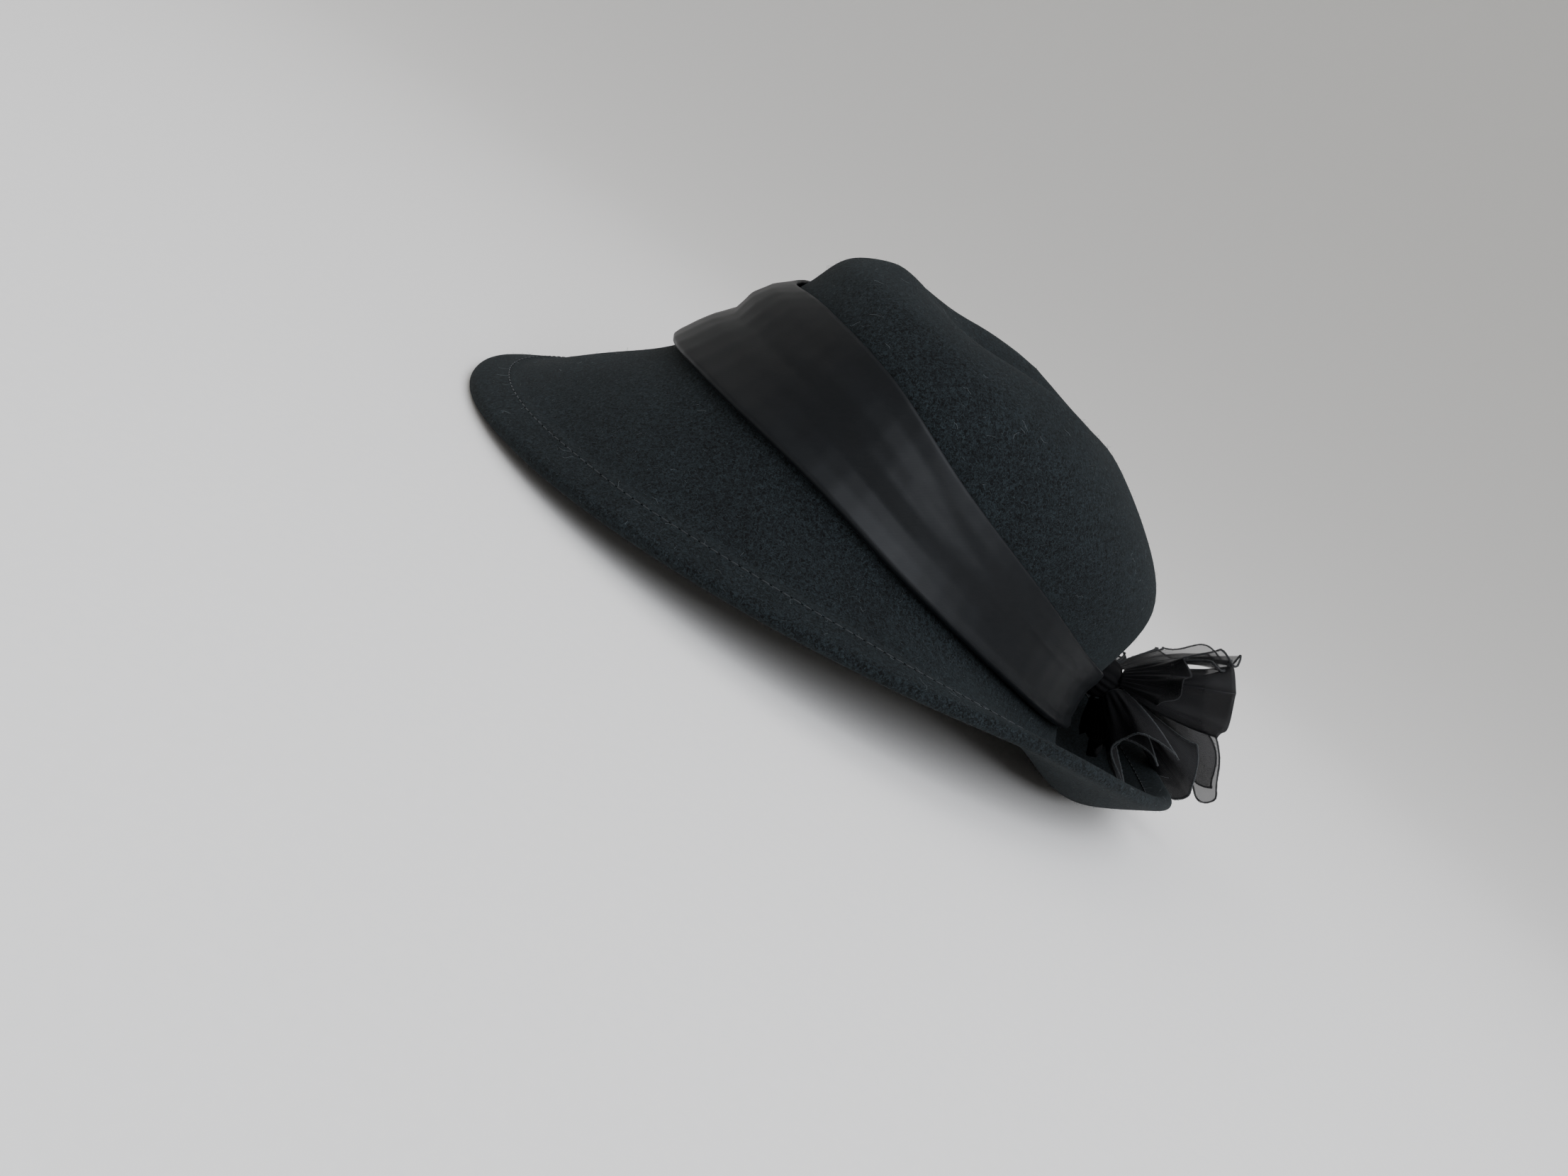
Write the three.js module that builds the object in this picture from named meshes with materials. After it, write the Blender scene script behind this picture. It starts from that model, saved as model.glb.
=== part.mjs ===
// Wide-brim felt hat with a folded satin band and a chiffon rosette at the back.
// Millimetres, +Z up. The front of the hat looks along -Y, the wearer's left side is +X,
// and the hat rests on the plane Z = 0 with its origin under the middle of its box.
import * as THREE from 'three';

// Felt
const FELT_THICKNESS = 2.5;
const HEM_THICKNESS = 3.2; // folded layer on top of the brim, at the fold
const HEM_RAW_EDGE = 1.4; // the same layer at its raw edge, sewn down flat
const HEM_WIDTH = 13;
const HEM_STEP = 1.8; // slope of the hem's raw edge
const DENT_DEPTH = 11; // middle of the crown below its front crest
const DENT_LEAD = 0.6; // share of the dent's radius where it leads into the crest
const REST_HEIGHT = 1; // level of the surface that presses the felt flat, in the table's heights
const CREST_LEAN = 2.2; // drop of the crest on the wearer's left, and rise on the right
const FELT_COLOUR = 0x1c2022;
const FELT_ROUGHNESS = 0.95;

// Satin band
const BAND_THICKNESS = 1.2;
const BAND_FOOT_STAND = 3; // folded lower edge, off the felt
const BAND_FOOT_SWEEP = 3; // power by which the band leaves the felt towards its foot
const SEAT_GAP = 0.35; // clearance between pieces that lie on each other
const SATIN_COLOUR = 0x28282a;
const SATIN_ROUGHNESS = 0.45;

// Rosette
const KNOT_RADIUS = 9;
const KNOT_SEAT = 6; // flat seat below the knot's middle
const KNOT_GAP = 0.7; // clearance between the knot's seat and the folded band
const KNOT_SIDES = 12;
const KNOT_STEPS = 6;
const ROSETTE_SEAT = 0.1; // its place across the band, from the upper edge (0) to the foot (1)
const PETAL_THICKNESS = 1;
const PETAL_ROWS = 6;
const PETAL_COLUMNS = 10;
const PETAL_FULLNESS = 0.8; // power by which a petal widens from the knot to its rim
const PETAL_WAVES = 2.5; // waves along the rim
const PETAL_FLARE = 3; // power by which the waves grow towards the rim
const CHIFFON_COLOUR = 0x121214;
const CHIFFON_ROUGHNESS = 0.75;

// Faceting of the felt and the band
const COLUMNS = 60;
const DENT_ROWS = 3;
const DENT_SAMPLES = 5;
const CREST_ROWS = 3;
const WALL_ROWS = 4;
const BAND_ROWS = 6;
const BRIM_ROWS = 7;
const HEM_ROWS = 2;
const FOLD_ROWS = 4;
const CURVE_SAMPLES = 80;

// Plan of each guide ring: its reach from the head's axis to the front, side and back.
const RINGS = {
  crest: { front: 48, side: 38, back: 50 },
  shoulder: { front: 66, side: 63, back: 84 },
  wall: { front: 71, side: 75, back: 108.5 },
  bandTop: { front: 76, side: 80, back: 105.5 },
  bandFoot: { front: 100, side: 87, back: 104.5 },
  brim: { front: 126, side: 104, back: 125 },
  edge: { front: 154.5, side: 124, back: 156 },
};

// Height of each guide ring in sections round the hat, from front (0) to back (180 degrees).
const SECTIONS = [
  { azimuth: 0, crest: 123, shoulder: 115, wall: 107, bandTop: 94, bandFoot: 52, brim: 28.5, edge: 2 },
  { azimuth: 30, crest: 120.7, shoulder: 115, wall: 107, bandTop: 96.5, bandFoot: 55, brim: 29.5, edge: 8 },
  { azimuth: 60, crest: 119.5, shoulder: 113, wall: 104, bandTop: 93, bandFoot: 54, brim: 33, edge: 17.5 },
  { azimuth: 90, crest: 121.3, shoulder: 110, wall: 96, bandTop: 79, bandFoot: 45.5, brim: 33, edge: 27 },
  { azimuth: 120, crest: 121.5, shoulder: 106, wall: 87.5, bandTop: 66, bandFoot: 36, brim: 28, edge: 34 },
  { azimuth: 150, crest: 118, shoulder: 100.5, wall: 79.5, bandTop: 52, bandFoot: 26, brim: 9.5, edge: 28.5 },
  { azimuth: 180, crest: 116, shoulder: 98, wall: 76.5, bandTop: 44.5, bandFoot: 20, brim: 0.8, edge: 20.5 },
];

// Soft folds of the band, mirrored on both sides. A fold runs along the band, with its middle at
// an azimuth and its place across the band from the upper edge (0) to the foot (1).
const FOLDS = [
  { azimuth: 0, half: 24, across: 0.26, drift: 0, height: 5.5, width: 0.2 },
  { azimuth: 0, half: 30, across: 0.72, drift: 0, height: 3.5, width: 0.2 },
  { azimuth: 70, half: 30, across: 0.42, drift: 0.004, height: 1.8, width: 0.15 },
  { azimuth: 118, half: 26, across: 0.3, drift: 0.003, height: 1.4, width: 0.15 },
  { azimuth: 150, half: 20, across: 0.66, drift: 0.002, height: 1.4, width: 0.15 },
];

// Petals of the rosette. A petal leaves the knot in a direction round the backward axis (turn,
// from the wearer's left upwards) and away from that axis (tilt). Towards its rim it bows further
// away from the axis and its sides curl inwards, or the other way where the number is negative.
// The rim falls back from its middle to its corners.
const PETALS = {
  petal_top: { turn: 108, tilt: 49.5, bow: -23, reach: 60, half: 23, curl: -44, fall: 0.35, wave: 2 },
  petal_back: { turn: -48, tilt: -8, bow: 48, reach: 72, half: 15, curl: 124, fall: 0.35, wave: 1.5 },
  petal_left_upper: { turn: 56.5, tilt: 36, bow: 8, reach: 52, half: 21.5, curl: 60, fall: 0.1, wave: 2.5 },
  petal_left: { turn: 43, tilt: 62, bow: 4, reach: 38, half: 13, curl: 42, fall: 0.25, wave: 2 },
  petal_left_lower: { turn: -17, tilt: 72, bow: 6, reach: 34, half: 19, curl: 176, fall: -0.4, wave: 1 },
  petal_low: { turn: -94, tilt: 42, bow: 0, reach: 34, half: 7.5, curl: 56, fall: 0.3, wave: 1 },
  petal_low_left: { turn: -68, tilt: 62, bow: 0, reach: 33, half: 7.5, curl: 46, fall: 0.3, wave: 1 },
  petal_low_right: { turn: 248, tilt: 62, bow: 0, reach: 33, half: 7.5, curl: 46, fall: 0.3, wave: 1 },
  petal_low_back: { turn: -48, tilt: 21.4, bow: 6.5, reach: 60, half: 17, curl: 132, fall: 0.3, wave: 1 },
  petal_right_lower: { turn: 206.5, tilt: 52, bow: 0, reach: 43, half: 15, curl: 100, fall: 0.3, wave: 1.5 },
  petal_right_upper: { turn: 168, tilt: 61, bow: 0, reach: 28, half: 7.5, curl: 38, fall: 0.3, wave: 1.5 },
};

// Closed surface gathered from rows of points.
class Skin {
  constructor() {
    this.coordinates = [];
    this.faces = [];
  }

  point(p) {
    this.coordinates.push(p.x, p.y, p.z);
    return this.coordinates.length / 3 - 1;
  }

  row(points) {
    return points.map((p) => this.point(p));
  }

  // Two rows of equal length, joined by a strip of triangles.
  strip(first, second, closed) {
    const spans = closed ? first.length : first.length - 1;
    for (let i = 0; i < spans; i += 1) {
      const next = (i + 1) % first.length;
      this.faces.push(first[i], second[i], second[next]);
      this.faces.push(first[i], second[next], first[next]);
    }
  }

  // Closed row, joined to one point.
  cap(pole, ring) {
    ring.forEach((corner, i) => this.faces.push(pole, corner, ring[(i + 1) % ring.length]));
  }

  mesh(name, colour, roughness) {
    const geometry = new THREE.BufferGeometry();
    geometry.setAttribute('position', new THREE.Float32BufferAttribute(this.coordinates, 3));
    geometry.setIndex(this.faces);
    geometry.computeVertexNormals();
    return namedMesh(name, geometry, colour, roughness);
  }
}

function namedMesh(name, geometry, colour, roughness) {
  const material = new THREE.MeshStandardMaterial({ color: colour, roughness, metalness: 0 });
  const mesh = new THREE.Mesh(geometry, material);
  mesh.name = name;
  return mesh;
}

// Uniform Catmull-Rom value between b and c.
function catmullRom(a, b, c, d, t) {
  const bend = 2 * a - 5 * b + 4 * c - d;
  const twist = 3 * b - a - 3 * c + d;
  return b + 0.5 * t * (c - a + t * (bend + t * twist));
}

// Azimuth from the front, the same on both sides of the hat.
function mirrored(azimuth) {
  return 180 - Math.abs(180 - azimuth);
}

// Height of a guide ring at any azimuth. Both halves of the hat mirror the table.
function ringHeight(name, azimuth) {
  const last = SECTIONS.length - 1;
  const row = (index) => SECTIONS[last - Math.abs(last - Math.abs(index))][name];
  const place = (mirrored(azimuth) / 180) * last;
  const index = Math.floor(place);
  return catmullRom(row(index - 1), row(index), row(index + 1), row(index + 2), place - index);
}

// Radius of a guide ring: an egg whose front and back halves are ellipses.
function ringRadius(name, azimuth) {
  const { front, side, back } = RINGS[name];
  const angle = THREE.MathUtils.degToRad(azimuth);
  const along = Math.cos(angle);
  return 1 / Math.hypot(Math.sin(angle) / side, along / (along > 0 ? front : back));
}

// Place in the hat of a point in the radial section at an azimuth.
function inHat(azimuth, p) {
  const angle = THREE.MathUtils.degToRad(azimuth);
  return new THREE.Vector3(p.x * Math.sin(angle), -p.x * Math.cos(angle), p.y);
}

// Upper side of a section curve that runs outwards.
function upwards(curve, share) {
  const tangent = curve.getTangentAt(share);
  return new THREE.Vector2(-tangent.y, tangent.x);
}

// Point that stands off a section curve.
function offCurve(curve, share, rise) {
  return curve.getPointAt(share).addScaledVector(upwards(curve, share), rise);
}

// Upper face of the felt in a radial section, in stretches that run outwards.
function feltSection(azimuth) {
  const names = Object.keys(RINGS);
  const guide = (name) => new THREE.Vector2(ringRadius(name, azimuth), ringHeight(name, azimuth));
  const guides = names.map(guide);
  const crest = guides[0];
  crest.y -= CREST_LEAN * Math.sin(THREE.MathUtils.degToRad(azimuth));
  const floor = SECTIONS[0].crest - DENT_DEPTH;
  const dent = (t) => new THREE.Vector2(crest.x * t, floor + (crest.y - floor) * t * t * (3 - 2 * t));
  const spline = new THREE.SplineCurve([dent(DENT_LEAD), ...guides]);
  const dentPoints = Array.from({ length: DENT_SAMPLES + 1 }, (_, i) => dent(i / DENT_SAMPLES));
  const stretch = (from, to) => {
    const start = names.indexOf(from) + 1;
    const end = names.indexOf(to) + 1;
    const place = (i) => (start + ((end - start) * i) / CURVE_SAMPLES) / guides.length;
    const sample = (_, i) => spline.getPoint(place(i));
    return new THREE.SplineCurve(Array.from({ length: CURVE_SAMPLES + 1 }, sample));
  };
  return {
    dent: new THREE.SplineCurve(dentPoints),
    crest: stretch('crest', 'shoulder'),
    wall: stretch('shoulder', 'bandTop'),
    underBand: stretch('bandTop', 'bandFoot'),
    brim: stretch('bandFoot', 'edge'),
  };
}

// Rounded fold of the hem, from its upper to its lower face.
function hemFold(brim) {
  const end = brim.getPointAt(1);
  const up = upwards(brim, 1);
  const out = brim.getTangentAt(1);
  const fold = [];
  for (let row = 1; row < FOLD_ROWS; row += 1) {
    const angle = (Math.PI * row) / FOLD_ROWS;
    const rise = Math.cos(angle) * (angle < Math.PI / 2 ? HEM_THICKNESS : FELT_THICKNESS);
    const reach = Math.sin(angle) * FELT_THICKNESS;
    fold.push(end.clone().addScaledVector(out, reach).addScaledVector(up, rise));
  }
  return fold;
}

// Point of the felt, pressed up where it would be lower than a level above its rest.
function pressed(p, level) {
  return p.setY(Math.max(p.y, REST_HEIGHT + level));
}

// Outline of the felt in a section: out along its upper face, round the hem and back below.
function feltOutline(azimuth) {
  const { dent, crest, wall, underBand, brim } = feltSection(azimuth);
  const upper = [];
  const lower = [];
  const span = (curve, rows, end = 1) => {
    for (let row = 0; row < rows; row += 1) {
      const share = (end * row) / rows;
      upper.push(pressed(offCurve(curve, share, 0), FELT_THICKNESS));
      lower.push(pressed(offCurve(curve, share, -FELT_THICKNESS), 0));
    }
  };
  const length = brim.getLength();
  const hemStart = 1 - HEM_WIDTH / length;
  const rawEdge = hemStart - HEM_STEP / length;
  span(dent, DENT_ROWS);
  span(crest, CREST_ROWS);
  span(wall, WALL_ROWS);
  span(underBand, BAND_ROWS);
  span(brim, BRIM_ROWS, rawEdge);
  upper.push(pressed(offCurve(brim, rawEdge, 0), FELT_THICKNESS));
  for (let row = 0; row <= HEM_ROWS; row += 1) {
    const share = hemStart + ((1 - hemStart) * row) / HEM_ROWS;
    const layer = HEM_RAW_EDGE + ((HEM_THICKNESS - HEM_RAW_EDGE) * row) / HEM_ROWS;
    upper.push(pressed(offCurve(brim, share, layer), FELT_THICKNESS + layer));
    lower.push(pressed(offCurve(brim, share, -FELT_THICKNESS), 0));
  }
  const fold = hemFold(brim).map((p) => pressed(p, 0));
  return [...upper, ...fold, ...lower.reverse()].map((p) => inHat(azimuth, p));
}

function azimuths() {
  return Array.from({ length: COLUMNS }, (_, column) => (360 * column) / COLUMNS);
}

// One piece of blocked felt: crown, brim and hem.
function makeFelt() {
  const columns = azimuths().map(feltOutline);
  const skin = new Skin();
  const last = columns[0].length - 1;
  const rings = [];
  for (let row = 1; row < last; row += 1) rings.push(skin.row(columns.map((column) => column[row])));
  skin.cap(skin.point(columns[0][0]), rings[0]);
  rings.slice(1).forEach((ring, row) => skin.strip(rings[row], ring, true));
  skin.cap(skin.point(columns[0][last]), rings[rings.length - 1].reverse());
  return skin.mesh('felt_body', FELT_COLOUR, FELT_ROUGHNESS);
}

// How far the band's inner face stands off the felt.
function bandStand(azimuth, across) {
  const fold = FOLDS.reduce((sum, { azimuth: middle, half, across: place, drift, height, width }) => {
    const along = (mirrored(azimuth) - middle) / half;
    const aside = (across - place - drift * (mirrored(azimuth) - middle)) / width;
    return sum + height * Math.exp(-along * along - aside * aside);
  }, 0);
  return SEAT_GAP + fold + BAND_FOOT_STAND * across ** BAND_FOOT_SWEEP;
}

// Outline of the band in a section: down its inner face and back up its outer face.
function bandOutline(azimuth) {
  const { underBand } = feltSection(azimuth);
  const face = (thickness) => Array.from({ length: BAND_ROWS + 1 }, (_, row) => {
    const across = row / BAND_ROWS;
    return inHat(azimuth, offCurve(underBand, across, bandStand(azimuth, across) + thickness));
  });
  return [...face(0), ...face(BAND_THICKNESS).reverse()];
}

// Folded satin band: one closed loop round the crown.
function makeBand() {
  const skin = new Skin();
  const loops = azimuths().map((azimuth) => skin.row(bandOutline(azimuth)));
  loops.forEach((loop, column) => skin.strip(loop, loops[(column + 1) % loops.length], true));
  return skin.mesh('satin_band', SATIN_COLOUR, SATIN_ROUGHNESS);
}

// Gathered middle that the petals are sewn to, round with a flat seat, on the local Z axis.
function makeKnot() {
  const seat = Math.asin(KNOT_SEAT / KNOT_RADIUS);
  const quarter = new THREE.EllipseCurve(0, 0, KNOT_RADIUS, KNOT_RADIUS, -seat, Math.PI / 2);
  const arc = quarter.getPoints(KNOT_STEPS);
  arc[KNOT_STEPS].x = 0;
  const profile = [new THREE.Vector2(0, -KNOT_SEAT), ...arc];
  const geometry = new THREE.LatheGeometry(profile, KNOT_SIDES).rotateX(Math.PI / 2);
  return namedMesh('rosette_knot', geometry, CHIFFON_COLOUR, CHIFFON_ROUGHNESS);
}

// Direction in the rosette, round its backward axis and away from it.
function inRosette(turn, tilt) {
  return new THREE.Vector3(Math.cos(turn) * Math.sin(tilt), Math.cos(tilt), Math.sin(turn) * Math.sin(tilt));
}

// One petal: a fan of chiffon with a rounded rim, its sides curled in and its rim waved.
function makePetal(name, { turn, tilt, bow, reach, half, curl, fall, wave }) {
  const [round, lean, arch, halfCurl] = [turn, tilt, bow, curl / 2].map(THREE.MathUtils.degToRad);
  const across = new THREE.Vector3(-Math.sin(round), 0, Math.cos(round));
  const start = (KNOT_RADIUS + SEAT_GAP) / reach;
  // The spine is an arc, so its chord leaves the knot at half of the bend and is a little shorter.
  const spine = (length) => {
    const swing = (arch * length) / 2;
    const chord = swing ? Math.sin(swing) / swing : 1;
    return inRosette(round, lean + swing).multiplyScalar(reach * length * chord);
  };
  const face = (length, rise) => Array.from({ length: PETAL_COLUMNS + 1 }, (_, column) => {
    const side = (2 * column) / PETAL_COLUMNS - 1;
    const bend = halfCurl * side;
    const radius = (half * length ** PETAL_FULLNESS) / halfCurl;
    const ripple = wave * length ** PETAL_FLARE * Math.sin(Math.PI * PETAL_WAVES * side);
    const inwards = across.clone().cross(inRosette(round, lean + arch * length));
    return spine(length * (1 - fall * (side * length) ** 2))
      .addScaledVector(across, (radius - rise) * Math.sin(bend))
      .addScaledVector(inwards, radius + ripple - (radius - rise) * Math.cos(bend));
  });
  const skin = new Skin();
  const loops = Array.from({ length: PETAL_ROWS + 1 }, (_, row) => {
    const length = start + ((1 - start) * row) / PETAL_ROWS;
    const outer = face(length, -PETAL_THICKNESS / 2);
    const inner = face(length, PETAL_THICKNESS / 2);
    return skin.row([...outer, ...inner.reverse()]);
  });
  const middle = PETAL_COLUMNS + 1;
  const ends = (loop) => [loop.slice(0, middle), loop.slice(middle).reverse()];
  loops.slice(1).forEach((loop, row) => skin.strip(loops[row], loop, true));
  skin.strip(...ends(loops[0]).reverse(), false);
  skin.strip(...ends(loops[PETAL_ROWS]), false);
  return skin.mesh(name, CHIFFON_COLOUR, CHIFFON_ROUGHNESS);
}

// Chiffon rosette, seated on the band at the back.
function makeRosette() {
  const { underBand } = feltSection(180);
  const rise = bandStand(180, ROSETTE_SEAT) + BAND_THICKNESS + KNOT_GAP + KNOT_SEAT;
  const seat = inHat(180, upwards(underBand, ROSETTE_SEAT));
  const knot = makeKnot();
  knot.quaternion.setFromUnitVectors(new THREE.Vector3(0, 0, 1), seat);
  const rosette = new THREE.Group();
  rosette.position.copy(inHat(180, offCurve(underBand, ROSETTE_SEAT, rise)));
  rosette.add(knot, ...Object.entries(PETALS).map(([name, row]) => makePetal(name, row)));
  return rosette;
}

const hat = new THREE.Group();
hat.add(makeFelt(), makeBand(), makeRosette());

const box = new THREE.Box3().setFromObject(hat);
const middle = box.getCenter(new THREE.Vector3());
hat.position.set(-middle.x, -middle.y, -box.min.z);

export default hat;
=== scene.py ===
# Wide-brim felt hat with a bias-cut satin band and a chiffon rosette, dressed over its solids.
# Metres, +Z up. The front of the hat looks along -Y and the wearer's left side is +X.
import math
import random
from collections import namedtuple

import bmesh
import bpy
from mathutils import Matrix, Vector, noise
from mathutils.bvhtree import BVHTree


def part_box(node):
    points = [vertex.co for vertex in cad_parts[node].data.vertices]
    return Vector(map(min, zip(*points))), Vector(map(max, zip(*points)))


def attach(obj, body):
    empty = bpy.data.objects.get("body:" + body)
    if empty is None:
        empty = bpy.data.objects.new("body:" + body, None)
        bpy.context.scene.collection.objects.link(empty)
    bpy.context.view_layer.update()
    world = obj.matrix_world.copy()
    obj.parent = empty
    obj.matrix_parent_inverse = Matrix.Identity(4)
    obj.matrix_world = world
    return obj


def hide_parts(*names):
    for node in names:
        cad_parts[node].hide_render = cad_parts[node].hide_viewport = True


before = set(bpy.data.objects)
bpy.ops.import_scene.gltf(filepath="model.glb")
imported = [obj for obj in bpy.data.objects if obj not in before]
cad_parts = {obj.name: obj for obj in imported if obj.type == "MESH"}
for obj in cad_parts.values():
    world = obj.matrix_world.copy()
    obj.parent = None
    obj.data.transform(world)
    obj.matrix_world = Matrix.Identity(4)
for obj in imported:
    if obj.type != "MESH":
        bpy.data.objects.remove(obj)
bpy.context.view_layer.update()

MM = 0.001
ROOT = "root"
CROWN_AXIS_Y = -12 * MM  # the crown's axis stands a little in front of the box's middle
SOLID_WELD = 0.005 * MM  # joins up a solid's loose triangles

# Camera of the photograph, at its place and turn to the hat: angles in degrees, lens in millimetres
CAMERA_PLACE = (0.440, -0.104 + CROWN_AXIS_Y, 0.123)
CAMERA_PITCH = 19.5
CAMERA_ROLL = 35.5
CAMERA_LENS = 27.05
CAMERA_SENSOR = 36
CAMERA_NEAR = 0.01

# Felt
FELT_ROUNDING = 2  # levels of subdivision over the solid's facets
FELT_ROUGH_HAND = 0.25 * MM  # unevenness of blocked felt
FELT_ROUGH_SPAN = 30 * MM
BRIM_SEARCH = (0.18, 0.08)  # the brim is searched inwards between these distances from the crown's axis
BRIM_STEP = 0.5 * MM
ABOVE_HAT = 0.2

# Row of stitches at the hem
STITCH_INSET = 11.2 * MM  # from the brim's edge, along the felt
STITCH_PITCH = 3.6 * MM
STITCH_LENGTH = 3.0 * MM
STITCH_THREAD = 0.42 * MM
STITCH_LIFT = 0.1 * MM
SEAM_STEP = 2  # degrees round the hat between the points of the row
SEAM_EASING = 10  # rounds of smoothing along the row
SEAM_LIFT = 0.5 * MM  # the smoothed row comes back to the felt from this far above
SEAM_SHADOW_CORD = 0.45 * MM  # radius of the dark cord that is painted shadow in the groove that the stitches press into the felt
SEAM_SINK = 0.3 * MM
SEAM_LINT_PITCH = 11 * MM

# Loose fibres: the felt's own short nap, and pale lint caught on it
FIBRE_ROOT = 0.05 * MM  # depth at which a fibre is rooted
FIBRE_WANDER = 0.55  # usual turn at a bend, in radians
FIBRE_RISE = 1.5  # power by which a fibre lifts off towards its tip
NAP_SEED = 11
NAP_FIBRES = 8000
NAP_LENGTH = (0.6 * MM, 1.6 * MM)
NAP_LIFT = (0.2, 1.4)  # rise against length
NAP_BENDS = 2
NAP_RADIUS = 0.022 * MM
LINT_SEED = 5
LINT_FIBRES = 260
LINT_LENGTH = (0.8 * MM, 3.8 * MM)
LINT_LIFT = 0.08  # rise against length
LINT_BENDS = 5
LINT_FLOAT = 0.1 * MM
LINT_SLOPE = 0.05  # least upward share of the felt's normal where lint settles
LINT_RADIUS = 0.025 * MM

# Satin band
BAND_COLUMNS = 300
BAND_ROWS = 44
BAND_CLOTH = 0.45 * MM
BAND_WELD = 0.02 * MM
BAND_FLAT = (0.56, 0.05)  # length and width of the strip
BAND_TOP_SHARE = 0.08  # share of the rows in the turned upper edge
BAND_FOOT_SHARE = 0.2  # share of the rows in the rolled foot
BAND_TOP_ROLL = 0.7 * MM
BAND_FOOT_ROLL = 1.5 * MM
BAND_TOP_TURN = 160
BAND_FOOT_TURN = 215
BAND_TRIM = (0.4 * MM, 1.2 * MM)  # kept clear of the solid's upper edge and foot
BAND_SEARCH = (0.25, 0.1)  # from the crown's axis: where the search for its face starts, and a miss ends
BAND_SLOPE = (0.004, 0.04)  # shares of the turn and of the width over which the slope is read
CAD_COLUMNS = 60  # of the band's solid
DRAPE_DEPTH = 0.4 * MM  # soft wrinkles of the satin, long along the strip and short across it
DRAPE_SPAN = (75 * MM, 9 * MM)
DRAPE_SWAY = 0.2  # share of the width by which the wrinkles rise and sink, twice round
DRAPE_SINK = 0.3  # sinks the wrinkles, so that more of them go in than out

# Chiffon rosette
KNOT_RADIUS = 9 * MM
KNOT_SEAT = 6 * MM  # from the middle to the flat side against the band
KNOT_INSIDE = 0.96  # share of the solid's radius, so that the pleats stay within it
KNOT_PLEATS = 14
KNOT_PLEAT_DEPTH = 0.04  # share of the radius
KNOT_BUNCHES = 3  # places where the pleats crowd together
KNOT_CROWDING = 2  # how much they do, in radians of a pleat
PETAL_START = 9.35 * MM  # from the knot's middle
PETAL_COLUMNS = 40
PETAL_ROWS = 30
PETAL_FULLNESS = 0.8  # power by which a petal widens from the knot to its rim
PETAL_WAVES = 2.5  # waves along the rim
PETAL_FLARE = 3  # power by which the waves grow towards the rim
PETAL_CLOTH = 0.2 * MM
PETAL_WELD = 0.002 * MM
PETAL_FACE = 0.4 * MM  # from the middle of a solid to its outer layer of cloth
PLEATS = 7  # gathers across a petal at the knot
PLEAT_DEPTH = 0.4 * MM
PLEAT_PEAK = 6  # brings the pleats to about their full depth where they stand highest
FOLDS = 2.5  # soft folds across a petal
FOLD_DEPTH = 0.9 * MM
FOLD_START = 4  # where the first fold stands, in radians
FOLD_LEAN = 2  # how far the folds turn aside on their way to the rim, in radians
FOLD_SINK = 0.4  # sinks the folds, so that they stay near the solid
CRINKLE = 0.7 * MM
CRINKLE_SPAN = 11 * MM
LAYERS = (0, 1)  # outer and inner layer of a petal
LAYER_GAP = 2.6 * MM  # widest between two layers: at a cut rim, or on the way to a folded one
LAYER_PHASE = 1.3  # how far the inner layer's folds stand off the outer's, in radians
LAYER_SHORT = 0.07  # share by which the inner layer ends short of the outer
LAYER_SLIP = -8  # degrees by which a worn petal's inner layer has slipped round from the outer
INNER_REACH = 0.7  # share of a folded petal's length that its inner plies reach
INNER_HOLLOW = 0.12  # how much further they reach at the petal's sides
INNER_COVER = 0.8  # how nearly they close the cloth, from 0 to 1
OVERLOCK_POINTS = 40  # on each side of a petal and on its rim
OVERLOCK_RADIUS = 0.3 * MM
OVERLOCK_UNEVEN = (0.6, 1.4)
OVERLOCK_PITCH = 0.5 * MM
OVERLOCK_THREAD = 0.2 * MM
OVERLOCK_STEPS = 5

# The petals' directions and sizes in degrees and millimetres, the plies that lie together in a layer,
# and how the cloth ends: folded over at the rim, cut and overlocked, or the same with a worn thread
Petal = namedtuple("Petal", "node turn tilt bow reach half curl fall wave plies end")
PETALS = [
    Petal("petal_top", 108, 49.5, -23, 60, 23, -44, 0.35, 2, 1, "cut"),
    Petal("petal_back", -48, -8, 48, 72, 15, 124, 0.35, 1.5, 2, "cut"),
    Petal("petal_left_upper", 56.5, 36, 8, 52, 21.5, 60, 0.1, 2.5, 3, "folded"),
    Petal("petal_left", 43, 62, 4, 38, 13, 42, 0.25, 2, 4, "folded"),
    Petal("petal_left_lower", -17, 72, 6, 34, 19, 176, -0.4, 1, 4, "worn"),
    Petal("petal_low", -94, 42, 0, 34, 7.5, 56, 0.3, 1, 2, "cut"),
    Petal("petal_low_left", -68, 62, 0, 33, 7.5, 46, 0.3, 1, 4, "folded"),
    Petal("petal_low_right", 248, 62, 0, 33, 7.5, 46, 0.3, 1, 4, "folded"),
    Petal("petal_low_back", -48, 21.4, 6.5, 60, 17, 132, 0.3, 1, 6, "worn"),
    Petal("petal_right_lower", 206.5, 52, 0, 43, 15, 100, 0.3, 1.5, 2, "cut"),
    Petal("petal_right_upper", 168, 61, 0, 28, 7.5, 38, 0.3, 1.5, 2, "cut"),
]

# Studio sweep: level floor, then a curve that rises to the wall
SWEEP_FLOOR = 0.9
SWEEP_CURVE = 2.6
SWEEP_STEPS = 24
SWEEP_SIDES = 96
SWEEP_WELD = 0.01 * MM

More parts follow.
